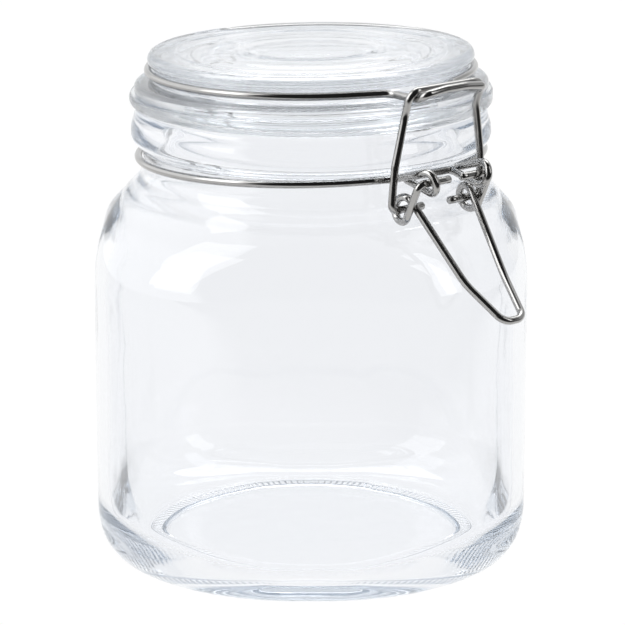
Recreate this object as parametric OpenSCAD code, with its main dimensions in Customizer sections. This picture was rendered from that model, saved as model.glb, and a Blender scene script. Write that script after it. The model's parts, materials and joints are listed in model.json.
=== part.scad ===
// Bail clamp jar: a rounded-square glass jar whose glass lid is held down on a rubber ring by four bent wires.
// Millimetres, +Z up. The origin is the centre of the foot ring, on the surface that the jar stands on.
// The wires are drawn in the clamp's own frame: X runs out through the clamp, Y across it, and the hinge is at -X.

/* [Jar] */
// Width of the body across its flat sides
body_w = 118; // [116:1:122]
// Corner radius of the body, seen from above
corner_r = 43; // [40:1:45]
// Height of the jar's glass rim
rim_z = 128.3; // [127:0.1:128.6]
// Thickness of the side walls
wall = 3.4; // [2.5:0.1:4]
// Height of the floor inside the jar
floor_z = 6.5; // [5:0.5:8]
// Height of the rounded heel under the walls
heel_h = 19; // [17:0.5:21]
// Radius of the heel's lower edge
heel_r = 48; // [46:0.1:49]
// Outer radius of the neck, at its bead
neck_r = 49.4; // [48.8:0.1:49.5]
// Radius of the groove that holds the neck ring
groove_r = 46.1; // [45.5:0.1:46.2]
// Inner radius of the mouth
mouth_r = 42.6; // [42.4:0.1:43]

/* [Lid] */
// Height of the top of the lid, at its centre
top_z = 143.4; // [143:0.1:144]
// How far the clamped lid leans up towards its clamp, as a slope
lid_lean = 0.0245; // [0:0.0005:0.025]
// Outer radius of the lid's flange
flange_r = 48.5; // [47.5:0.1:48.8]
// Radius of the groove round the lid that holds the lid ring
lid_groove_r = 43.2; // [42.5:0.1:43.3]
// Outer radius of the lid's rolled rim
lid_rim_r = 44.7; // [44:0.1:45]
// Outer radius of the rubber ring
gasket_r = 49.7; // [49:0.1:49.9]
// Mean thickness of the rubber ring, held closed; the lean of the lid makes it a wedge
gasket_h = 3.3; // [3:0.1:3.4]

/* [Wires] */
// Diameter of all the wires
wire_d = 2.1; // [1.9:0.05:2.2]
// Angle of the clamp from +X towards -Y
clamp_turn = 50; // [0:5:90]
// Centre-line radius of the lid ring
lid_ring_r = 44.6; // [44.5:0.05:44.8]
// Centre-line radius of the neck ring
neck_ring_r = 47.45; // [47.4:0.05:47.6]
// Free length between the lever's two cut ends
lever_gap = 3.8; // [3:0.1:6]
// Free length between the bail's two cut feet
bail_gap = 9.1; // [8:0.1:11]

/* [Hidden] */

wire_r = wire_d / 2;
half_w = body_w / 2;
// sides of a wire's section, and how far its path turns between two sections
wire_sides = 12;
wire_step = 15;
// steps along each half of the two rings
ring_steps = 21;
// a faceted wire runs this much under the true cylinders that end it
under = 0.03;
// how far a faceted wire runs on inside a true cylinder
lap = 0.6;

// The two pivots of the clamp, as [out, up], and the hinge at the back
pin = [58.9, 116.8];
foot = [51.4, 108.7];
hinge = [-53.6, 112.3];

glass_tint = [0.80, 0.86, 0.88, 0.45];
rubber_tint = [0.90, 0.90, 0.88];
steel_tint = [0.62, 0.63, 0.64];

// ---- wires ----

function unit(a) = a / norm(a);
function lerp(a, b, t) = a + (b - a) * t;

// The bend at corner b of a path that comes from a and goes on to c
function bend(a, b, c, r) =
    let (u = unit(a - b), v = unit(c - b), turn = 180 - acos(max(-1, min(1, u * v))))
    r == 0 || turn < 1 ? [b] :
    let (reach = r * tan(turn / 2),
         centre = b + unit(u + v) * r / cos(turn / 2),
         first = (b + u * reach - centre) / r,
         steps = max(2, ceil(turn / wire_step)))
    [for (i = [0:steps]) centre + r * (cos(turn * i / steps) * first - sin(turn * i / steps) * u)];

// A wire's centre line: corners given as [point, bend radius], the ends with radius 0
function bent(corners) =
    let (last = len(corners) - 1)
    [for (i = [0:last])
        each (i == 0 || i == last ? [corners[i][0]]
            : bend(corners[i - 1][0], corners[i][0], corners[i + 1][0], corners[i][1]))];

// The same corners seen in a mirror across the clamp, in the opposite order
function mirrored(corners) =
    [for (i = [len(corners) - 1:-1:0]) [[corners[i][0].x, -corners[i][0].y, corners[i][0].z], corners[i][1]]];

// Straight corners with no bend, for the points of an arc
function sharp(points) = [for (p = points) [p, 0]];

// An arc round pivot [out, up], clockwise from angle a0 to a1 while y goes from y0 to y1
function coil(pivot, r, a0, a1, y0, y1) =
    let (steps = ceil(abs(a1 - a0) / wire_step))
    sharp([for (i = [0:steps]) let (t = i / steps, a = lerp(a0, a1, t))
        [pivot.x + r * cos(a), lerp(y0, y1, t), pivot.y + r * sin(a)]]);

// Angle at which a line from a far point meets a clockwise circle round pivot, or leaves it
function arrives(pivot, r, far) =
    let (d = [far.x - pivot.x, far.z - pivot.y]) atan2(d.y, d.x) - acos(r / norm(d));
function leaves(pivot, r, far) =
    let (d = [far.x - pivot.x, far.z - pivot.y]) atan2(d.y, d.x) + acos(r / norm(d));

// Directions of a path at each of its points
function headings(p) =
    [for (i = [0:len(p) - 1])
        unit((i == 0 ? [0, 0, 0] : unit(p[i] - p[i - 1]))
            + (i == len(p) - 1 ? [0, 0, 0] : unit(p[i + 1] - p[i])))];

// A side direction carried along the path without twist
function sides_along(h) =
    let (start = unit(cross(h[0], abs(h[0].z) < 0.9 ? [0, 0, 1] : [1, 0, 0])))
    [for (i = 0, s = start; i < len(h);
          i = i + 1, s = i < len(h) ? unit(s - (s * h[i]) * h[i]) : s) s];

module wire(p, r) {
    h = headings(p);
    s = sides_along(h);
    n = wire_sides;
    rings = len(p);
    points = [for (i = [0:rings - 1]) let (t = cross(h[i], s[i]))
        for (k = [0:n - 1]) p[i] + r * (cos(k * 360 / n) * s[i] + sin(k * 360 / n) * t)];
    sides = [for (i = [0:rings - 2]) for (k = [0:n - 1])
        let (a = i * n + k, b = i * n + (k + 1) % n)
        each [[a, a + n, b + n], [a, b + n, b]]];
    ends = [[for (k = [0:n - 1]) k], [for (k = [n - 1:-1:0]) (rings - 1) * n + k]];
    polyhedron(points = points, faces = concat(ends, sides));
}

// A true round bar across the clamp, from y0 to y1
module bar(pivot, y0, y1)
    translate([pivot.x, y0, pivot.y]) rotate([-90, 0, 0]) cylinder(r = wire_r, h = y1 - y0, $fn = 48);

// Two bars in line, one on each side of the clamp, from y0 outwards
module bar_pair(pivot, y0, len) {
    bar(pivot, y0, y0 + len);
    bar(pivot, -y0 - len, -y0);
}

module in_clamp() rotate([0, 0, -clamp_turn]) children();

// ---- neck ring: round the neck, bowed out to a hinge bar behind and to a loop on each side in front ----

neck_tilt = 0.036;
neck_mid_z = 114.3;
// where the ring leaves its circle, in degrees from the clamp and from the hinge
neck_front = 20;
neck_back = 17;
loop_r = 2.85;
loop_y = [10.2, 8.3];
hinge_bar = 14.8;
hinge_bow_y = 9.8;
cross_x = 48;

function on_neck(a) = let (x = neck_ring_r * cos(a))
    [x, neck_ring_r * sin(a), neck_mid_z + neck_tilt * x];
// the corner where a circle's tangent at angle a reaches y
function tangent_corner(p, y) = let (s = (p.y - y) / p.x) [p.x + s * p.y, y, p.z];

function neck_half() =
    let (out = tangent_corner(on_neck(-neck_front), -loop_y[0]),
         back = tangent_corner(on_neck(-(180 - neck_back)), -hinge_bow_y),
         inner = [cross_x, -loop_y[1], neck_mid_z + neck_tilt * cross_x],
         a0 = arrives(pin, loop_r, out), a1 = leaves(pin, loop_r, inner))
    concat([[[hinge.x, -(hinge_bar / 2 - lap), hinge.y], 0],
            [[hinge.x, -hinge_bow_y, hinge.y], 2.2],
            [back, 2.2]],
        sharp([for (i = [0:ring_steps]) on_neck(-lerp(180 - neck_back, neck_front, i / ring_steps))]),
        [[out, 2.6]],
        coil(pin, loop_r, a0 + 180 > 360 ? a0 - 360 : a0, a1 - 360, -loop_y[0], -loop_y[1]),
        [[inner, 1.6]]);

module neck_ring() color(steel_tint) in_clamp() {
    half = neck_half();
    wire(bent(concat(half, mirrored(half))), wire_r - under);
    bar(hinge, -hinge_bar / 2, hinge_bar / 2);
}

// ---- lid ring: round the lid, a hook in front and two coiled legs on the hinge bar behind ----

lid_tilt = 0.019;
lid_mid_z = 137.75;
lid_front = 25;
lid_back = 14;
arm_y = 10.2;
leg_y = 5.7;
coil_r = 2.3;
coil_turn = 330;
coil_pitch = 2.3;
hook_valley = [56.2, 138.6];
hook_lip = [58.6, 140.3];
hook_crown = [58.9, 3.5, 141.1];

function on_lid(a) = let (x = lid_ring_r * cos(a))
    [x, lid_ring_r * sin(a), lid_mid_z + lid_tilt * x];

function lid_half() =
    let (leg_x = hinge.x + coil_r,
         front = tangent_corner(on_lid(-lid_front), -arm_y),
         back = tangent_corner(on_lid(-(180 - lid_back)), -leg_y))
    concat(coil(hinge, coil_r, -coil_turn, 0, -(leg_y - coil_pitch), -leg_y),
        [[[leg_x, -leg_y, back.z], 2.4],
         [back, 2.2]],
        sharp([for (i = [0:ring_steps]) on_lid(-lerp(180 - lid_back, lid_front, i / ring_steps))]),
        [[front, 4.2],
         [[hook_valley.x, -arm_y, hook_valley.y], 2.4],
         [[hook_lip.x, -arm_y, hook_lip.y], 1.9],
         [[hook_crown.x, -hook_crown.y, hook_crown.z], 10]]);

module lid_ring() color(steel_tint) in_clamp() {
    half = lid_half();
    wire(bent(concat(half, mirrored(half))), wire_r);
}

// ---- bail: an upright wire frame, its top bar in the hook and its two feet in the lever's eyes ----

bail_foot_y = 15.7;
bail_foot_len = 9.2;
bail_leg = [52.1, 15.1, 120.5];
bail_shoulder = [53, 12.4, 134.5];
bail_top = [55.4, 12.8, 140.95];

function bail_half() =
    [[[foot.x, -(bail_gap / 2 + bail_foot_len - lap), foot.y], 0],
     [[foot.x, -bail_foot_y, foot.y], 2],
     [[bail_leg.x, -bail_leg.y, bail_leg.z], 12],
     [[bail_shoulder.x, -bail_shoulder.y, bail_shoulder.z], 8],
     [[bail_top.x, -bail_top.y, bail_top.z], 3.2]];

module bail() color(steel_tint) in_clamp() {
    half = bail_half();
    wire(bent(concat(half, mirrored(half))), wire_r - under);
    bar_pair(foot, bail_gap / 2, bail_foot_len);
}

// ---- lever: two pins in the neck ring's loops, an eye round each foot of the bail, and the handle ----

link_y = 12.6;
leg_start_y = 10.45;
eye_r = 3.2;
pin_len = 9;
handle_bend = [70.9, 6.9, 91.5];
handle_tip = [82.3, 3.5, 82.9];

function lever_half() =
    let (a0 = arrives(foot, eye_r, [pin.x, 0, pin.y]),
         a1 = leaves(foot, eye_r, handle_bend) - 360)
    concat([[[pin.x, -(lever_gap / 2 + pin_len - lap), pin.y], 0],
            [[pin.x, -link_y, pin.y], 2]],
        coil(foot, eye_r, a0, a1, -link_y, -leg_start_y),
        [[[handle_bend.x, -handle_bend.y, handle_bend.z], 20],
         [[handle_tip.x, -handle_tip.y, handle_tip.z], 3.4]]);

module lever() color(steel_tint) in_clamp() {
    half = lever_half();
    wire(bent(concat(half, mirrored(half))), wire_r - under);
    bar_pair(pin, lever_gap / 2, pin_len);
}

// ---- glass jar: sections from the foot up the outside, over the rim and down the inside ----

jar_sides = 72;

// A level of the jar: [height, half width, corner radius]; a circle has the two alike
function circle_level(z, r) = [z, r, r];
function quarter(z0, w0, r0, z1, w1, r1, steps) =
    [for (i = [0:steps]) let (a = 90 * i / steps)
        [z0 + (z1 - z0) * (1 - cos(a)), w0 + (w1 - w0) * sin(a), r0 + (r1 - r0) * sin(a)]];

outer_levels = concat(
    [circle_level(1.2, 36), circle_level(1, 41.6), circle_level(-0.3, 43.6), circle_level(-0.3, heel_r - 0.9)],
    quarter(0.2, heel_r - 0.3, heel_r - 0.3, heel_h, half_w, corner_r, 9),
    [[50, half_w, corner_r],
     [80, half_w, corner_r],
     [86, half_w - 0.2, corner_r + 0.2],
     [90.5, half_w - 0.8, corner_r + 1.5],
     [94.5, half_w - 1.8, corner_r + 4.2],
     [98, half_w - 3.4, corner_r + 7],
     [101, half_w - 5.5, corner_r + 8.9],
     [103.6, half_w - 7.6, corner_r + 8.4]],
    [circle_level(105.7, 49.5), circle_level(107.2, 48), circle_level(108.6, 47.1),
     circle_level(110.2, groove_r + 0.3), circle_level(111.6, groove_r), circle_level(116.2, groove_r),
     circle_level(117.3, groove_r + 1), circle_level(118, neck_r - 0.9), circle_level(119.1, neck_r - 0.2),
     circle_level(120.5, neck_r), circle_level(122.6, neck_r - 0.2), circle_level(124.8, neck_r - 0.8),
     circle_level(rim_z - 1.3, neck_r - 1.2), circle_level(rim_z - 0.4, neck_r - 1.7),
     circle_level(rim_z, neck_r - 2.7)]);

inner_levels = concat(
    [circle_level(rim_z, mouth_r + 1.2), circle_level(rim_z - 0.5, mouth_r + 0.4),
     circle_level(rim_z - 1.4, mouth_r), circle_level(112, mouth_r), circle_level(108.5, mouth_r + 0.5),
     circle_level(106, mouth_r + 2.2), circle_level(103.5, mouth_r + 5), circle_level(101, mouth_r + 8)],
    [[98, half_w - wall - 3.2, corner_r + 5],
     [94.5, half_w - wall - 1.7, corner_r + 2],
     [90, half_w - wall - 0.7, corner_r - 0.6],
     [85, half_w - wall, corner_r - 2.5],
     [50, half_w - wall, corner_r - 2.5]],
    [for (i = [8:-1:0]) quarter(floor_z, heel_r - 4, heel_r - 4, floor_z + 15, half_w - wall, corner_r - 2.5, 8)[i]]);

function level_points(l) = [for (i = [0:jar_sides - 1])
    let (a = (i + 0.5) * 360 / jar_sides, flat = l[1] - l[2])
    [flat * sign(cos(a)) + l[2] * cos(a), flat * sign(sin(a)) + l[2] * sin(a), l[0]]];

module lofted(levels) {
    n = jar_sides;
    rings = len(levels);
    points = concat([for (l = levels) each level_points(l)],
        [[0, 0, levels[0][0]], [0, 0, levels[rings - 1][0]]]);
    walls = [for (j = [0:rings - 2]) for (i = [0:n - 1])
        let (a = j * n + i, b = j * n + (i + 1) % n)
        each [[a, a + n, b + n], [a, b + n, b]]];
    ends = [for (i = [0:n - 1])
        each [[rings * n, i, (i + 1) % n],
              [rings * n + 1, (rings - 1) * n + (i + 1) % n, (rings - 1) * n + i]]];
    polyhedron(points = points, faces = concat(walls, ends));
}

module glass_jar() color(glass_tint) difference() {
    lofted(concat(outer_levels, inner_levels));
    translate([0, 0, -5]) cylinder(r = body_w, h = 5, $fn = 96);
}

// ---- glass lid: domed top with a raised ring, a groove for its wire, a flange and a plug ----

gasket_top = rim_z + 0.15 + gasket_h;

// Leans the lid up towards the clamp, about the middle of its wire
module leaned() in_clamp() translate([0, 0, lid_mid_z]) rotate([0, -atan(lid_lean), 0])
    translate([0, 0, -lid_mid_z]) children();

function arc(c, r, a0, a1, steps) = [for (i = [0:steps]) let (a = lerp(a0, a1, i / steps))
    [c.x + r * cos(a), c.y + r * sin(a)]];

module glass_lid() color(glass_tint) leaned() rotate_extrude($fn = 128) polygon(concat(
    [[0, top_z - 0.1], [15, top_z], [19.3, top_z], [20.5, top_z - 0.55], [28, top_z - 0.7], [29.2, top_z - 0.45],
     [36.8, top_z - 0.55], [37.8, top_z - 0.8], [39.8, top_z - 0.75]],
    arc([lid_rim_r - 2.05, top_z - 2.5], 2.05, 100, -45, 8),
    [[lid_groove_r + 0.4, 139.2], [lid_groove_r, 138.9], [lid_groove_r, 136.4],
     [lid_groove_r + 0.5, 135.7], [lid_groove_r + 2.6, 135.4],
     [flange_r - 1, 134.9], [flange_r - 0.2, 134.2], [flange_r, 133.2],
     [flange_r, gasket_top + 0.7], [flange_r - 0.6, gasket_top], [40.2, gasket_top],
     [40, 128.2], [38.4, 125.4], [36.6, 124.9], [34.9, 126.2], [34.2, 133.5], [32, 136.5],
     [27, 138.1], [0, 139.2]]));

module gasket() color(rubber_tint) difference() {
    rotate_extrude($fn = 128) polygon(
        [[40.6, rim_z + 0.5], [41, rim_z + 0.15], [gasket_r - 0.5, rim_z + 0.15], [gasket_r, rim_z + 0.7],
         [gasket_r, gasket_top + 3], [40.6, gasket_top + 3]]);
    leaned() translate([0, 0, gasket_top]) cylinder(r = gasket_r + 5, h = 10, $fn = 96);
}

glass_jar();
glass_lid();
gasket();
neck_ring();
lid_ring();
bail();
lever();
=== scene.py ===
"""Looks of the bail clamp jar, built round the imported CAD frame.

Lengths in the builders of the pieces are millimetres; those of the stage are metres.
"""
import json
import math

import bmesh
import bpy
import numpy as np
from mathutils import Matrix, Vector


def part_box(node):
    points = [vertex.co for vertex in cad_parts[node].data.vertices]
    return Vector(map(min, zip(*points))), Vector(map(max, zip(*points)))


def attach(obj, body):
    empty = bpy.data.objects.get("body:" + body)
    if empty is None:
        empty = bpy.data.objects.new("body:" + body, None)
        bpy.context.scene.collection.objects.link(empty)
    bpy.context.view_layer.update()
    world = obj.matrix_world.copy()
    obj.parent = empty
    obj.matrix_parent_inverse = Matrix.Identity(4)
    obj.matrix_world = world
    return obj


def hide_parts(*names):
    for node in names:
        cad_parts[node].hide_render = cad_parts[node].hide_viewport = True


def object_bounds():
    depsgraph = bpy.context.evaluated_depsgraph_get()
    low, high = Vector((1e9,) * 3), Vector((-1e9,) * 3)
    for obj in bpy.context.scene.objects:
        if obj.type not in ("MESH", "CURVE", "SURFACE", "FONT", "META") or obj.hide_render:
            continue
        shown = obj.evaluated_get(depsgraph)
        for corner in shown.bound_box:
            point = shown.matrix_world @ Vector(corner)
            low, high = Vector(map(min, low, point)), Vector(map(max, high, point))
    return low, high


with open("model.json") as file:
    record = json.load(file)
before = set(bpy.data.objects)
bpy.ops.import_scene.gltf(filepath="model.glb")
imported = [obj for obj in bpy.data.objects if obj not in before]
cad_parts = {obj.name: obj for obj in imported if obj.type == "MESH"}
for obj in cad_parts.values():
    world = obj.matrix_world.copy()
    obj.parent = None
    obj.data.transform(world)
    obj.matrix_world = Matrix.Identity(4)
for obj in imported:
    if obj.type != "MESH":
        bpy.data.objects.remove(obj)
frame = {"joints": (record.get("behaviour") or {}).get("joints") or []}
CAD_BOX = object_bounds()

MM = 0.001
JOINTS = {j["name"]: j for j in frame["joints"]}


def box_mm(node):
    """Lowest and highest corner of a CAD node, in millimetres."""
    lo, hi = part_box(node)
    return np.array(lo) / MM, np.array(hi) / MM


JAR_HI = box_mm("glass_jar")[1]
LID_LO, LID_HI = box_mm("glass_lid")
SEAL_LO, SEAL_HI = box_mm("gasket")

# The clamp's own frame: out through the clamp, across it, and up; the pivots are (out, up) in it
PIVOTS = ("lever_pivot", "bail_pivot", "lid_hinge")
PIN, FOOT, HINGE = (np.array(JOINTS[name]["pos_m"]) / MM for name in PIVOTS)
OUT = np.array([PIN[0], PIN[1], 0]) / math.hypot(PIN[0], PIN[1])
ACROSS = np.array([-OUT[1], OUT[0], 0.0])
pin, foot, hinge = (np.array([p @ OUT, p[2]]) for p in (PIN, FOOT, HINGE))


# ---- mesh helpers ----

def mesh_object(name, points, faces, uv=None):
    """A smooth-shaded object from points in millimetres, with one UV pair per face corner if given."""
    mesh = bpy.data.meshes.new(name)
    mesh.from_pydata([tuple(p) for p in np.asarray(points) * MM], [], faces)
    mesh.validate()
    mesh.polygons.foreach_set("use_smooth", [True] * len(mesh.polygons))
    if uv is not None:
        layer = mesh.uv_layers.new(name="UVMap")
        layer.data.foreach_set("uv", np.asarray(uv, np.float32).ravel())
    mesh.update()
    obj = bpy.data.objects.new(name, mesh)
    bpy.context.scene.collection.objects.link(obj)
    return obj


def smooth_line(keys, steps):
    """A Catmull-Rom line through the rows of keys, with that many steps between neighbours."""
    k = np.asarray(keys, float)
    k = np.vstack([2 * k[0] - k[1], k, 2 * k[-1] - k[-2]])
    out = []
    for i in range(1, len(k) - 2):
        p0, p1, p2, p3 = k[i - 1:i + 3]
        # centripetal knots keep the line from looping between keys of uneven spacing
        gaps = [max(1e-6, np.linalg.norm(b - a)) ** 0.5 for a, b in ((p0, p1), (p1, p2), (p2, p3))]
        t = np.cumsum([0] + gaps)
        for s in range(steps):
            u = t[1] + (t[2] - t[1]) * s / steps
            a1 = (t[1] - u) / (t[1] - t[0]) * p0 + (u - t[0]) / (t[1] - t[0]) * p1
            a2 = (t[2] - u) / (t[2] - t[1]) * p1 + (u - t[1]) / (t[2] - t[1]) * p2
            a3 = (t[3] - u) / (t[3] - t[2]) * p2 + (u - t[2]) / (t[3] - t[2]) * p3
            b1 = (t[2] - u) / (t[2] - t[0]) * a1 + (u - t[0]) / (t[2] - t[0]) * a2
            b2 = (t[3] - u) / (t[3] - t[1]) * a2 + (u - t[1]) / (t[3] - t[1]) * a3
            out.append((t[2] - u) / (t[2] - t[1]) * b1 + (u - t[1]) / (t[2] - t[1]) * b2)
    out.append(k[-2])
    return np.array(out)


def ring_faces(rings, around, closed=False):
    """Quads between rings of points; closed also joins the last ring to the first."""
    return [
        (j * around + i, j * around + (i + 1) % around,
         ((j + 1) % rings) * around + (i + 1) % around, ((j + 1) % rings) * around + i)
        for j in range(rings if closed else rings - 1)
        for i in range(around)
    ]


def recalculate(obj):
    """Turns every face of a closed mesh outwards."""
    bm = bmesh.new()
    bm.from_mesh(obj.data)
    bmesh.ops.recalc_face_normals(bm, faces=bm.faces)
    bm.to_mesh(obj.data)
    bm.free()
    return obj


def revolved(name, profile, around, shaped):
    """A closed solid of revolution about the Z axis, its points then moved by the function shaped.

    profile is a closed loop of (radius, height), which may touch the axis.
    """
    pts, rows = [], []
    for r, z in profile:
        if r < 1e-6:
            rows.append([len(pts)])
            pts.append((0, 0, z))
        else:
            rows.append(list(range(len(pts), len(pts) + around)))
            a = (np.arange(around) + 0.5) * 2 * math.pi / around
            pts.extend(zip(r * np.cos(a), r * np.sin(a), np.full(around, z)))
    faces = []
    for one, two in zip(rows, rows[1:] + rows[:1]):
        if len(one) == 1 and len(two) == 1:
            continue
        for i in range(around):
            k = (i + 1) % around
            if len(one) == 1:
                faces.append((one[0], two[k], two[i]))
            elif len(two) == 1:
                faces.append((one[i], one[k], two[0]))
            else:
                faces.append((one[i], one[k], two[k], two[i]))
    return recalculate(mesh_object(name, shaped(np.array(pts, float)), faces))


# ---- glass jar ----

JAR_AROUND = 600
FOOT_INNER_R = 43.2
FOOT_OUTER_R = 46.9
KNURLS = 160
KNURL_DEPTH = 0.25
WALL = 3.4
FLOOR_Z = 6.5
HEEL_H = 19.0
HEEL_R = 48.0
CORNER_R = 43.0
GROOVE_R = 46.1
MOUTH_R = 42.6
NECK_R = 49.4
HALF_W = float(JAR_HI[0])
RIM_Z = float(JAR_HI[2])


def circle(z, r):
    return (z, r, r)


def quarter(z0, w0, r0, z1, w1, r1, steps):
    """Levels along a quarter of an ellipse, from flat at z0 to upright at z1."""
    return [
        (z0 + (z1 - z0) * (1 - math.cos(a)), w0 + (w1 - w0) * math.sin(a), r0 + (r1 - r0) * math.sin(a))
        for a in (math.pi / 2 * i / steps for i in range(steps + 1))
    ]


def jar_levels():
    """The jar's sections as (height, half width, corner radius), up the outside and down the inside."""
    foot = [circle(1.25, 12), circle(1.25, 30), circle(1.2, 38), circle(1.05, 41.2), circle(0.6, 42.5),
            circle(0.1, 43.3), circle(0.0, 43.9), circle(0.0, 45.2), circle(0.0, 46.4), circle(0.12, 47.1)]
    heel = quarter(0.45, HEEL_R - 0.4, HEEL_R - 0.4, HEEL_H, HALF_W, CORNER_R, 14)
    body = [(35, HALF_W, CORNER_R), (60, HALF_W, CORNER_R), (80, HALF_W, CORNER_R),
            (86, HALF_W - 0.2, CORNER_R + 0.2), (90.5, HALF_W - 0.8, CORNER_R + 1.5),
            (94.5, HALF_W - 1.8, CORNER_R + 4.2), (98, HALF_W - 3.4, CORNER_R + 7),
            (101, HALF_W - 5.5, CORNER_R + 8.9), (103.6, HALF_W - 7.6, CORNER_R + 8.4)]
    neck = [circle(105.7, 49.5), circle(107.2, 48), circle(108.6, 47.1), circle(110.2, GROOVE_R + 0.3),
            circle(111.6, GROOVE_R), circle(114, GROOVE_R), circle(116.2, GROOVE_R),
            circle(117.3, GROOVE_R + 1), circle(118, NECK_R - 0.9), circle(119.1, NECK_R - 0.2),
            circle(120.5, NECK_R),
            circle(122.6, NECK_R - 0.2), circle(124.8, NECK_R - 0.8), circle(RIM_Z - 1.3, NECK_R - 1.2),
            circle(RIM_Z - 0.4, NECK_R - 1.7), circle(RIM_Z, NECK_R - 2.7)]
    inside = [circle(RIM_Z, MOUTH_R + 1.2), circle(RIM_Z - 0.5, MOUTH_R + 0.4),
              circle(RIM_Z - 1.4, MOUTH_R), circle(120, MOUTH_R), circle(112, MOUTH_R),
              circle(108.5, MOUTH_R + 0.5), circle(106, MOUTH_R + 2.2), circle(103.5, MOUTH_R + 5),
              circle(101, MOUTH_R + 8),
              (98, HALF_W - WALL - 3.2, CORNER_R + 5), (94.5, HALF_W - WALL - 1.7, CORNER_R + 2),
              (90, HALF_W - WALL - 0.7, CORNER_R - 0.6), (85, HALF_W - WALL, CORNER_R - 2.5),
              (60, HALF_W - WALL, CORNER_R - 2.5), (35, HALF_W - WALL, CORNER_R - 2.5)]
    bowl = quarter(FLOOR_Z, HEEL_R - 4, HEEL_R - 4, FLOOR_Z + 15, HALF_W - WALL, CORNER_R - 2.5, 12)
    floor = [circle(FLOOR_Z, 30), circle(FLOOR_Z, 12)]
    return np.vstack([smooth_line(foot + heel + body + neck, 3), smooth_line(inside + bowl[::-1] + floor, 3)])


def make_jar():
    levels = jar_levels()
    levels[:, 0] = np.clip(levels[:, 0], 0, RIM_Z)
    levels[:, 1] = np.minimum(levels[:, 1], HALF_W)
    a = (np.arange(JAR_AROUND) + 0.5) * 2 * math.pi / JAR_AROUND
    z, w, r = (levels[:, i][:, None] for i in range(3))
    r = np.minimum(r, w)
    x = (w - r) * np.sign(np.cos(a)) + r * np.cos(a)
    y = (w - r) * np.sign(np.sin(a)) + r * np.sin(a)
    z = np.repeat(z, JAR_AROUND, axis=1)
    # radial ridges pressed into the foot ring
    radius = np.hypot(x, y)
    on_foot = np.clip((radius - FOOT_INNER_R) / 0.5, 0, 1) * np.clip((FOOT_OUTER_R - radius) / 0.5, 0, 1)
    z = z + KNURL_DEPTH * on_foot * (z < 0.3) * (0.5 - 0.5 * np.cos(a * KNURLS))
    rings = len(levels)
    pts = np.stack([x, y, z], axis=-1).reshape(-1, 3)
    faces = ring_faces(rings, JAR_AROUND)
    low, high = len(pts), len(pts) + 1
    pts = np.vstack([pts, [[0, 0, levels[0, 0]], [0, 0, levels[-1, 0]]]])
    last = (rings - 1) * JAR_AROUND
    for i in range(JAR_AROUND):
        k = (i + 1) % JAR_AROUND
        faces.append((low, k, i))
        faces.append((high, last + i, last + k))
    return recalculate(mesh_object("jar_glass", pts, faces))


# ---- glass lid and rubber ring ----

LID_AROUND = 288
SEAL_AROUND = 240
LID_LEAN = 0.0245
LID_MID_Z = 137.75
LID_UNDER_Z = 139.2
RIM_ROUND = 2.05
RIM_DROP = 2.5
RIM_TOP_R = 44.7 - RIM_ROUND
TOP_Z = float(LID_HI[2]) - LID_LEAN * RIM_TOP_R + RIM_DROP - RIM_ROUND
FLANGE_R = float(LID_HI[0] - LID_LO[0]) / 2
GROOVE_LID_R = 43.2
SEAL_R = float(SEAL_HI[0])
GASKET_Z = float(SEAL_HI[2]) - LID_LEAN * SEAL_R


def arc(cx, cy, r, a0, a1, steps):
    return [(cx + r * math.cos(math.radians(a0 + (a1 - a0) * i / steps)),
             cy + r * math.sin(math.radians(a0 + (a1 - a0) * i / steps))) for i in range(steps + 1)]


def leaned(pts):
    """Leans the clamped lid up towards the clamp, about the middle of its wire."""
    turn = math.atan(LID_LEAN)
    out, up = pts @ OUT, pts[:, 2] - LID_MID_Z
    shift = out * (math.cos(turn) - 1) - up * math.sin(turn)
    moved = pts + shift[:, None] * OUT
    moved[:, 2] = LID_MID_Z + out * math.sin(turn) + up * math.cos(turn)
    return moved


def make_lid():
    top = [(4, TOP_Z - 0.1), (12, TOP_Z - 0.05), (17.6, TOP_Z - 0.03), (19.0, TOP_Z - 0.1),
           (20.0, TOP_Z - 0.36), (21.0, TOP_Z - 0.58), (23.5, TOP_Z - 0.68), (27.8, TOP_Z - 0.66),
           (28.9, TOP_Z - 0.5), (30.2, TOP_Z - 0.42), (33.2, TOP_Z - 0.52), (36.0, TOP_Z - 0.5),
           (36.7, TOP_Z - 0.56),
           (37.1, TOP_Z - 0.78), (37.7, TOP_Z - 0.86), (38.8, TOP_Z - 0.85), (39.4, TOP_Z - 0.74),
           (40.4, TOP_Z - 0.64)]
    rim = arc(RIM_TOP_R, TOP_Z - RIM_DROP, RIM_ROUND, 100, -48, 9)
    groove = [(GROOVE_LID_R + 0.4, 139.1), (GROOVE_LID_R + 0.05, 138.4), (GROOVE_LID_R, 137.4),
              (GROOVE_LID_R + 0.05, 136.5), (GROOVE_LID_R + 0.6, 135.8)]
    flange = [(GROOVE_LID_R + 1.8, 135.45), (FLANGE_R - 2.2, 135.15), (FLANGE_R - 0.9, 134.75),
              (FLANGE_R - 0.15, 134.0), (FLANGE_R, 133.1), (FLANGE_R, GASKET_Z + 0.9),
              (FLANGE_R - 0.15, GASKET_Z + 0.3), (FLANGE_R - 0.7, GASKET_Z)]
    plug = [(40.2, GASKET_Z), (40.1, 130.9), (40.0, 128.6), (39.5, 126.6), (38.4, 125.4), (37, 124.95),
            (35.9, 125.2), (34.9, 126.3), (34.5, 128.5), (34.2, 133.0), (33.4, 135.1), (32, 136.5),
            (29.5, 137.6), (26, 138.3), (18, 138.9), (8, LID_UNDER_Z)]
    line = smooth_line(top + rim + groove + flange, 4)
    under = smooth_line(plug, 4)
    loop = [(0.0, TOP_Z - 0.1)] + [tuple(p) for p in line] + [tuple(p) for p in under] + [(0.0, LID_UNDER_Z)]
    return revolved("lid_glass", loop, LID_AROUND, leaned)


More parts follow.
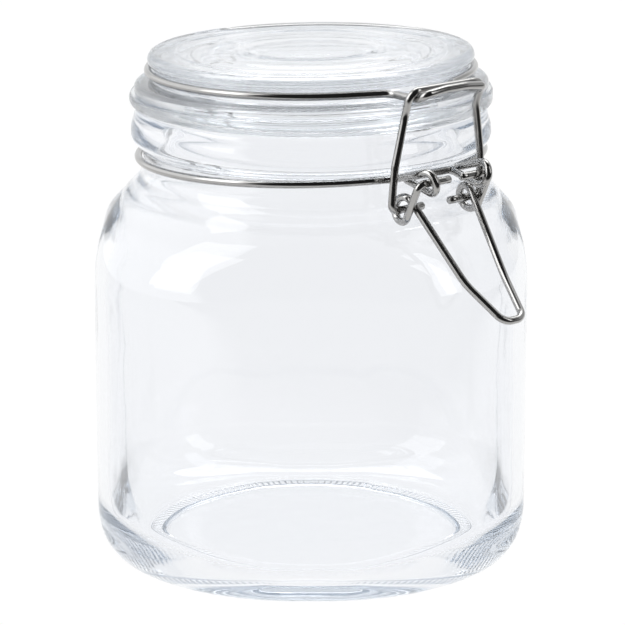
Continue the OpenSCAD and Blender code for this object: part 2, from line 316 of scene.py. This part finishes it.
def wedged(pts):
    """Slopes the top of the rubber ring with the lid and leaves its bottom flat."""
    high = (pts[:, 2] - SEAL_LO[2]) / (GASKET_Z - SEAL_LO[2])
    pts[:, 2] += high * LID_LEAN * (pts @ OUT)
    return pts


def make_gasket():
    lo, hi, r = float(SEAL_LO[2]), GASKET_Z, SEAL_R
    hole = 40.6
    bottom = [(hole, hi - 0.5), (hole, lo + 0.6), (hole + 0.3, lo + 0.1), (42, lo), (46, lo), (r - 1, lo)]
    side = [(r - 0.25, lo + 0.25), (r, lo + 0.9), (r, hi - 0.7), (r - 0.2, hi - 0.15), (r - 0.8, hi)]
    top = [(46, hi), (41.6, hi), (hole + 0.2, hi - 0.15), (hole, hi - 0.5)]
    loop = smooth_line(bottom + side + top, 3)[:-1]
    return revolved("rubber_ring", [tuple(p) for p in loop], SEAL_AROUND, wedged)


# ---- wires ----

WIRE_R = 1.05
WIRE_AROUND = 20
BEND_STEP = 7.5
END_CHAMFER = 0.22
UV_STEP = 10


def from_clamp(p):
    """Points of the clamp's own frame, (out, across, up), in the row frame."""
    p = np.asarray(p, float)
    return p[:, :1] * OUT + p[:, 1:2] * ACROSS + p[:, 2:] * np.array([0, 0, 1.0])


def unit(v):
    v = np.asarray(v, float)
    return v / np.linalg.norm(v)


def bend(a, b, c, r):
    """Points of a bend of radius r at corner b of a path that comes from a and goes on to c."""
    u, v = unit(a - b), unit(c - b)
    turn = math.pi - math.acos(max(-1, min(1, float(u @ v))))
    if r == 0 or math.degrees(turn) < 1:
        return [b]
    reach = r * math.tan(turn / 2)
    centre = b + unit(u + v) * r / math.cos(turn / 2)
    first = (b + u * reach - centre) / r
    steps = max(2, math.ceil(math.degrees(turn) / BEND_STEP))
    return [centre + r * (math.cos(turn * i / steps) * first - math.sin(turn * i / steps) * u)
            for i in range(steps + 1)]


def bent(corners, closed=False):
    """The centre line through corners of (point, bend radius)."""
    c = [(np.asarray(p, float), r) for p, r in corners]
    out = []
    n = len(c)
    for i, (p, r) in enumerate(c):
        if not closed and i in (0, n - 1):
            out.append(p)
        else:
            out.extend(bend(c[i - 1][0], p, c[(i + 1) % n][0], r))
    return out


def mirrored(corners):
    return [((p[0], -p[1], p[2]), r) for p, r in reversed(corners)]


def sharp(points):
    return [(tuple(p), 0) for p in points]


def coil(pivot, r, a0, a1, y0, y1):
    steps = math.ceil(abs(a1 - a0) / BEND_STEP)
    pts = []
    for i in range(steps + 1):
        a = math.radians(a0 + (a1 - a0) * i / steps)
        pts.append((pivot[0] + r * math.cos(a), y0 + (y1 - y0) * i / steps, pivot[1] + r * math.sin(a)))
    return sharp(pts)


def touch_angles(pivot, r, far):
    """Angles at which a line from a far point meets a clockwise circle round pivot, and leaves it."""
    dx, dz = far[0] - pivot[0], far[2] - pivot[1]
    at, off = math.degrees(math.atan2(dz, dx)), math.degrees(math.acos(r / math.hypot(dx, dz)))
    return at - off, at + off


def spaced(points, step=2.0):
    """The same line with long straights cut into steps, so that shading and wear have points to work on."""
    out = [points[0]]
    for p in points[1:]:
        d = np.linalg.norm(p - out[-1])
        if d < 0.05:
            continue
        n = max(1, int(d // step))
        start = out[-1]
        out.extend(start + (p - start) * (i + 1) / n for i in range(n))
    return np.array(out)


def tube(name, corners, closed=False):
    """A wire along a path of the clamp's frame, with cut and slightly chamfered ends unless it is closed."""
    line = from_clamp(spaced(bent(corners, closed)))
    if closed:
        if np.linalg.norm(line[0] - line[-1]) < 0.05:
            line = line[:-1]
        ahead = np.roll(line, -1, axis=0) - line
        behind = line - np.roll(line, 1, axis=0)
    else:
        ahead = np.vstack([line[1:] - line[:-1], line[-1:] - line[-2:-1]])
        behind = np.vstack([line[1:2] - line[:1], line[1:] - line[:-1]])
    heads = ahead / np.linalg.norm(ahead, axis=1)[:, None] + behind / np.linalg.norm(behind, axis=1)[:, None]
    heads /= np.linalg.norm(heads, axis=1)[:, None]
    side = unit(np.cross(heads[0], [0, 0, 1] if abs(heads[0][2]) < 0.9 else [1, 0, 0]))
    sides = []
    for h in heads:
        side = unit(side - (side @ h) * h)
        sides.append(side)
    if closed:
        # the twist left over after one lap is shared out along the wire
        end = unit(sides[-1] - (sides[-1] @ heads[0]) * heads[0])
        left = math.atan2(np.cross(end, sides[0]) @ heads[0], end @ sides[0])
        for i, h in enumerate(heads):
            t = left * i / len(heads)
            sides[i] = sides[i] * math.cos(t) + np.cross(h, sides[i]) * math.sin(t)
    radii = np.full(len(line), WIRE_R)
    if not closed:
        line = np.vstack([line[:1], line[:1] + heads[0] * END_CHAMFER, line[1:-1],
                          line[-1:] - heads[-1] * END_CHAMFER, line[-1:]])
        heads = np.vstack([heads[:1], heads[:1], heads[1:-1], heads[-1:], heads[-1:]])
        sides = [sides[0]] + sides + [sides[-1]]
        cut = [WIRE_R - END_CHAMFER]
        radii = np.concatenate([cut, np.full(len(line) - 2, WIRE_R), cut])
    s = np.array(sides)
    t = np.cross(heads, s)
    a = np.arange(WIRE_AROUND) * 2 * math.pi / WIRE_AROUND
    pts = (line[:, None] + radii[:, None, None] * (np.cos(a)[None, :, None] * s[:, None]
                                                   + np.sin(a)[None, :, None] * t[:, None])).reshape(-1, 3)
    rings = len(line)
    faces = ring_faces(rings, WIRE_AROUND, closed)
    run = np.concatenate([[0], np.cumsum(np.linalg.norm(np.diff(line, axis=0), axis=1))])
    lap = run[-1] + (np.linalg.norm(line[0] - line[-1]) if closed else 0)
    uv = []
    for f in range(len(faces)):
        j, i = divmod(f, WIRE_AROUND)
        l0, l1 = run[j], run[j + 1] if j + 1 < rings else lap
        v0, v1 = i / WIRE_AROUND, (i + 1) / WIRE_AROUND
        u0, u1 = l0 / UV_STEP, l1 / UV_STEP
        uv.extend([(u0, v0), (u0, v1), (u1, v1), (u1, v0)])
    if not closed:
        for start, order in ((0, 1), ((rings - 1) * WIRE_AROUND, -1)):
            faces.append(tuple(range(start, start + WIRE_AROUND))[::order])
            uv.extend([(run[-1] / UV_STEP if start else 0, 0.5)] * WIRE_AROUND)
    return recalculate(mesh_object(name, pts, faces, uv))


RING_STEPS = 60


def ring_arc(r, mid_z, tilt, a0, a1):
    """Points of a tilted ring from angle a0 to a1, on the negative side of the clamp."""
    return [(r * math.cos(a), -r * math.sin(a), mid_z + tilt * r * math.cos(a))
            for a in (math.radians(a0 + (a1 - a0) * i / RING_STEPS) for i in range(RING_STEPS + 1))]


def tangent_corner(p, y):
    """Where the tangent to a circle at p reaches y."""
    s = (p[1] - y) / p[0]
    return (p[0] + s * p[1], y, p[2])


def neck_ring():
    r, mid_z, tilt = 47.45, 114.3, 0.036
    front, back, loop_r, out_y, in_y, bow_y, cross_x = 20, 17, 2.85, 10.2, 8.3, 9.8, 48
    arc_points = ring_arc(r, mid_z, tilt, 180 - back, front)
    out = tangent_corner(arc_points[-1], -out_y)
    inner = (cross_x, -in_y, mid_z + tilt * cross_x)
    a0, a1 = touch_angles(pin, loop_r, out)[0], touch_angles(pin, loop_r, inner)[1]
    if a0 + 180 > 360:
        a0 -= 360
    loop = coil(pin, loop_r, a0, a1 - 360, -out_y, -in_y)
    half = ([((hinge[0], -bow_y, hinge[1]), 2.2), (tangent_corner(arc_points[0], -bow_y), 2.2)]
            + sharp(arc_points) + [(out, 2.6)] + loop + [(inner, 1.6)])
    return tube("neck_wire", half + mirrored(half), closed=True)


def lid_ring():
    r, mid_z, tilt = 44.6, LID_MID_Z, 0.019
    front, back, arm_y, leg_y, coil_r, turn, pitch = 25, 14, 10.2, 5.7, 2.3, 330, 2.3
    valley, lip, crown = (56.2, 138.6), (58.6, 140.3), (58.9, -3.5, 141.1)
    arc_points = ring_arc(r, mid_z, tilt, 180 - back, front)
    start, end = tangent_corner(arc_points[0], -leg_y), tangent_corner(arc_points[-1], -arm_y)
    hook = [((valley[0], -arm_y, valley[1]), 2.4), ((lip[0], -arm_y, lip[1]), 1.9), (crown, 10)]
    half = (coil(hinge, coil_r, -turn, 0, -(leg_y - pitch), -leg_y)
            + [((hinge[0] + coil_r, -leg_y, start[2]), 2.4), (start, 2.2)] + sharp(arc_points)
            + [(end, 4.2)] + hook)
    return tube("lid_wire", half + mirrored(half))


def bail():
    gap = 9.1
    half = [((foot[0], -gap / 2, foot[1]), 0), ((foot[0], -15.7, foot[1]), 2),
            ((52.1, -15.1, 120.5), 12), ((53, -12.4, 134.5), 8), ((55.4, -12.8, 140.95), 3.2)]
    return tube("bail_wire", half + mirrored(half))


def lever():
    gap, link_y, leg_y, eye_r = 3.8, 12.6, 10.45, 3.2
    # the tip is a hair short of the CAD's, whose coarser facets cut inside the bend
    knee, tip = (70.9, -6.9, 91.5), (82.2, -3.5, 82.98)
    a0 = touch_angles(foot, eye_r, (pin[0], 0, pin[1]))[0]
    a1 = touch_angles(foot, eye_r, knee)[1] - 360
    half = ([((pin[0], -gap / 2, pin[1]), 0), ((pin[0], -link_y, pin[1]), 2)]
            + coil(foot, eye_r, a0, a1, -link_y, -leg_y) + [(knee, 20), (tip, 3.4)])
    return tube("lever_wire", half + mirrored(half))


# ---- materials ----

def new_material(name):
    mat = bpy.data.materials.new(name)
    mat.use_nodes = True
    nodes = mat.node_tree.nodes
    shader = nodes["Principled BSDF"]
    return mat, nodes, mat.node_tree.links, shader


def noise(nodes, links, source, scale, detail):
    n = nodes.new("ShaderNodeTexNoise")
    n.inputs["Scale"].default_value = scale
    n.inputs["Detail"].default_value = detail
    links.new(source, n.inputs["Vector"])
    return n


def bump(nodes, links, height, strength, distance, normal=None):
    b = nodes.new("ShaderNodeBump")
    b.inputs["Strength"].default_value = strength
    b.inputs["Distance"].default_value = distance
    links.new(height, b.inputs["Height"])
    if normal is not None:
        links.new(normal, b.inputs["Normal"])
    return b


def mapped(nodes, links, socket, low, high):
    m = nodes.new("ShaderNodeMapRange")
    m.inputs["To Min"].default_value = low
    m.inputs["To Max"].default_value = high
    links.new(socket, m.inputs["Value"])
    return m.outputs["Result"]


def ranged(nodes, links, socket, source, target):
    """A smooth step of the value from target[0] to target[1] while the socket goes over the source range."""
    m = nodes.new("ShaderNodeMapRange")
    m.interpolation_type = "SMOOTHSTEP"
    for key, value in zip(("From Min", "From Max", "To Min", "To Max"), source + target):
        m.inputs[key].default_value = value
    links.new(socket, m.inputs["Value"])
    return m.outputs["Result"]


def times(nodes, links, a, b):
    m = nodes.new("ShaderNodeMath")
    m.operation = "MULTIPLY"
    links.new(a, m.inputs[0])
    links.new(b, m.inputs[1])
    return m.outputs["Value"]


def glass_material(name, tint, ripple, density):
    mat, nodes, links, shader = new_material(name)
    shader.inputs["Base Color"].default_value = (*tint, 1)
    shader.inputs["Transmission Weight"].default_value = 1.0
    shader.inputs["IOR"].default_value = 1.51
    place = nodes.new("ShaderNodeTexCoord").outputs["Object"]
    flow = noise(nodes, links, place, 42, 1.5)
    skin = noise(nodes, links, place, 900, 2)
    wave = bump(nodes, links, flow.outputs["Fac"], 1.0, ripple)
    fine = bump(nodes, links, skin.outputs["Fac"], 0.1, 0.000005, wave.outputs["Normal"])
    links.new(fine.outputs["Normal"], shader.inputs["Normal"])
    links.new(mapped(nodes, links, skin.outputs["Fac"], 0.0, 0.03), shader.inputs["Roughness"])
    absorb = nodes.new("ShaderNodeVolumeAbsorption")
    absorb.inputs["Color"].default_value = (0.35, 0.44, 0.54, 1)
    absorb.inputs["Density"].default_value = density
    links.new(absorb.outputs["Volume"], nodes["Material Output"].inputs["Volume"])
    return mat


def rubber_material():
    mat, nodes, links, shader = new_material("Translucent_rubber")
    place = nodes.new("ShaderNodeTexCoord").outputs["Object"]
    cloud = noise(nodes, links, place, 60, 3)
    ramp = nodes.new("ShaderNodeValToRGB")
    ramp.color_ramp.elements[0].color = (0.93, 0.95, 0.96, 1)
    ramp.color_ramp.elements[1].color = (0.98, 0.985, 0.99, 1)
    links.new(cloud.outputs["Fac"], ramp.inputs["Fac"])
    links.new(ramp.outputs["Color"], shader.inputs["Base Color"])
    shader.inputs["Transmission Weight"].default_value = 0.95
    shader.inputs["IOR"].default_value = 1.2
    links.new(mapped(nodes, links, cloud.outputs["Fac"], 0.10, 0.22), shader.inputs["Roughness"])
    grain = noise(nodes, links, place, 1400, 2)
    skin = bump(nodes, links, grain.outputs["Fac"], 0.2, 0.00001)
    links.new(skin.outputs["Normal"], shader.inputs["Normal"])
    return mat


def wire_material():
    mat, nodes, links, shader = new_material("Drawn_stainless_wire")
    coordinates = nodes.new("ShaderNodeTexCoord")
    stretch = nodes.new("ShaderNodeMapping")
    stretch.inputs["Scale"].default_value = (0.5, 9, 1)
    links.new(coordinates.outputs["UV"], stretch.inputs["Vector"])
    streak = noise(nodes, links, stretch.outputs["Vector"], 3.0, 4)
    cloud = noise(nodes, links, coordinates.outputs["Object"], 160, 3)
    ramp = nodes.new("ShaderNodeValToRGB")
    ramp.color_ramp.elements[0].color = (0.33, 0.325, 0.318, 1)
    ramp.color_ramp.elements[1].color = (0.46, 0.453, 0.442, 1)
    links.new(streak.outputs["Fac"], ramp.inputs["Fac"])
    links.new(ramp.outputs["Color"], shader.inputs["Base Color"])
    shader.inputs["Metallic"].default_value = 1.0
    links.new(mapped(nodes, links, cloud.outputs["Fac"], 0.10, 0.20), shader.inputs["Roughness"])
    drawn = bump(nodes, links, streak.outputs["Fac"], 0.15, 0.00003)
    links.new(drawn.outputs["Normal"], shader.inputs["Normal"])
    return mat


# ---- pieces on the frame ----

def place(obj, body, node, slot, material):
    obj.data.materials.append(material)
    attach(obj, body)
    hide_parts(node)


jar_glass = glass_material("Pressed_glass", (0.957, 0.963, 0.976), 0.00015, 6.0)
lid_glass = glass_material("Pressed_lid_glass", (0.92, 0.93, 0.945), 0.00005, 3.0)
steel = wire_material()
place(make_jar(), "jar", "glass_jar", "glass", jar_glass)
place(make_lid(), "lid", "glass_lid", "lid_glass", lid_glass)
place(make_gasket(), "lid", "gasket", "seal", rubber_material())
place(neck_ring(), "jar", "neck_ring", "wire", steel)
place(lid_ring(), "lid", "lid_ring", "wire", steel)
place(bail(), "bail", "bail", "wire", steel)
place(lever(), "lever", "lever", "wire", steel)


# ---- stage, light and camera ----

FLOOR_SIZE = 12.0
FLOOR_GLOW = 1.01
WORLD_LEFT, WORLD_RIGHT, WORLD_FRONT, WORLD_THROUGH = 1.6, 0.6, 0.015, 0.75
DARK_SIDE = (0.30, -0.80, 0.52)
# direction in which the floor's glow is painted dark for reflection rays only, a painted dark reflection in
# the wires
REFLECTED_DARK_SIDE = (0.50, -0.85, 0.0)
CAMERA_AT = (0.0004, -0.975, 0.330)
CAMERA_DOWN = 15.036
LENS = 209.0
BOUNCES = 128


def along(nodes, links, socket, direction):
    """How far the vector reaches along a direction."""
    dot = nodes.new("ShaderNodeVectorMath")
    dot.operation = "DOT_PRODUCT"
    dot.inputs[1].default_value = direction
    links.new(socket, dot.inputs[0])
    return dot.outputs["Value"]


def when_reflected(nodes, links, plain, socket):
    """The second socket's value where a reflection sees the surface, and the plain one's elsewhere."""
    mix = nodes.new("ShaderNodeMix")
    links.new(plain, mix.inputs["A"])
    links.new(nodes.new("ShaderNodeLightPath").outputs["Is Reflection Ray"], mix.inputs["Factor"])
    links.new(socket, mix.inputs["B"])
    return mix.outputs["Result"]


def make_floor():
    bm = bmesh.new()
    bmesh.ops.create_circle(bm, cap_ends=True, segments=96, radius=FLOOR_SIZE)
    mesh = bpy.data.meshes.new("floor")
    bm.to_mesh(mesh)
    bm.free()
    obj = bpy.data.objects.new("floor", mesh)
    bpy.context.scene.collection.objects.link(obj)
    obj.location.z = CAD_BOX[0].z - 0.0002
    mat, nodes, links, shader = new_material("Pale_floor")
    shader.inputs["Base Color"].default_value = (0.0, 0.0, 0.0, 1)
    shader.inputs["Specular IOR Level"].default_value = 0.0
    shader.inputs["Roughness"].default_value = 0.9
    shader.inputs["Emission Color"].default_value = (1, 1, 1, 1)
    # reflection rays alone see the floor's glow fall to dark in front, a painted dark reflection that gives
    # the wires something dark to reflect; the floor itself goes on there
    spot = nodes.new("ShaderNodeTexCoord").outputs["Object"]
    painted_dark_reflection = ranged(nodes, links, along(nodes, links, spot, REFLECTED_DARK_SIDE), (0.15, 0.27),
                   (FLOOR_GLOW, FLOOR_GLOW * WORLD_FRONT))
    # other rays see it fall off slightly in front
    room = ranged(nodes, links, along(nodes, links, spot, (0, -1, 0)), (0.3, 1.5),
                  (FLOOR_GLOW, FLOOR_GLOW * 0.97))
    links.new(when_reflected(nodes, links, room, painted_dark_reflection), shader.inputs["Emission Strength"])
    obj.data.materials.append(mat)


def make_world():
    """A light tent, which reflections see as brighter at the left, greyer at the right and dark in front."""
    world = bpy.data.worlds.new("Studio")
    world.use_nodes = True
    bpy.context.scene.world = world
    nodes, links = world.node_tree.nodes, world.node_tree.links
    way = nodes.new("ShaderNodeTexCoord").outputs["Generated"]
    split = nodes.new("ShaderNodeSeparateXYZ")
    links.new(way, split.inputs["Vector"])
    left = ranged(nodes, links, split.outputs["X"], (-0.45, -0.7), (1.0, WORLD_LEFT))
    right = ranged(nodes, links, split.outputs["X"], (0.45, 0.7), (1.0, WORLD_RIGHT))
    front = ranged(nodes, links, along(nodes, links, way, DARK_SIDE), (0.40, 0.56), (1.0, WORLD_FRONT))
    back = nodes["Background"]
    back.inputs["Color"].default_value = (0.98, 0.99, 1.0, 1)
    seen = times(nodes, links, times(nodes, links, left, right), front)
    # other rays see the tent fall off a little towards the front
    through = ranged(nodes, links, split.outputs["Y"], (-0.1, -0.7), (1.0, WORLD_THROUGH))
    links.new(when_reflected(nodes, links, through, seen), back.inputs["Strength"])


def area_light(name, at, look, size, power):
    data = bpy.data.lights.new(name, "AREA")
    data.shape = "RECTANGLE"
    data.size, data.size_y = size
    data.energy = power
    obj = bpy.data.objects.new(name, data)
    obj.location = at
    obj.rotation_euler = (Vector(look) - Vector(at)).to_track_quat("-Z", "Y").to_euler()
    bpy.context.scene.collection.objects.link(obj)


def make_camera():
    data = bpy.data.cameras.new("camera")
    data.lens = LENS
    data.sensor_width = 36.0
    data.clip_start, data.clip_end = 0.05, 50
    obj = bpy.data.objects.new("camera", data)
    obj.location = CAMERA_AT
    obj.rotation_euler = (math.radians(90 - CAMERA_DOWN), 0, 0)
    bpy.context.scene.collection.objects.link(obj)
    bpy.context.scene.camera = obj


make_floor()
make_world()
middle = (CAD_BOX[0] + CAD_BOX[1]) / 2
area_light("key", (-1.1, -0.5, 1.0), middle, (0.9, 1.3), 7)
area_light("fill", (1.0, -0.5, 0.7), middle, (0.3, 1.0), 2)
area_light("top", (0.1, 0.7, 1.3), middle, (1.2, 0.6), 8)
make_camera()

scene = bpy.context.scene
scene.view_settings.view_transform = "Standard"
scene.cycles.max_bounces = BOUNCES
scene.cycles.transmission_bounces = BOUNCES
scene.cycles.glossy_bounces = BOUNCES
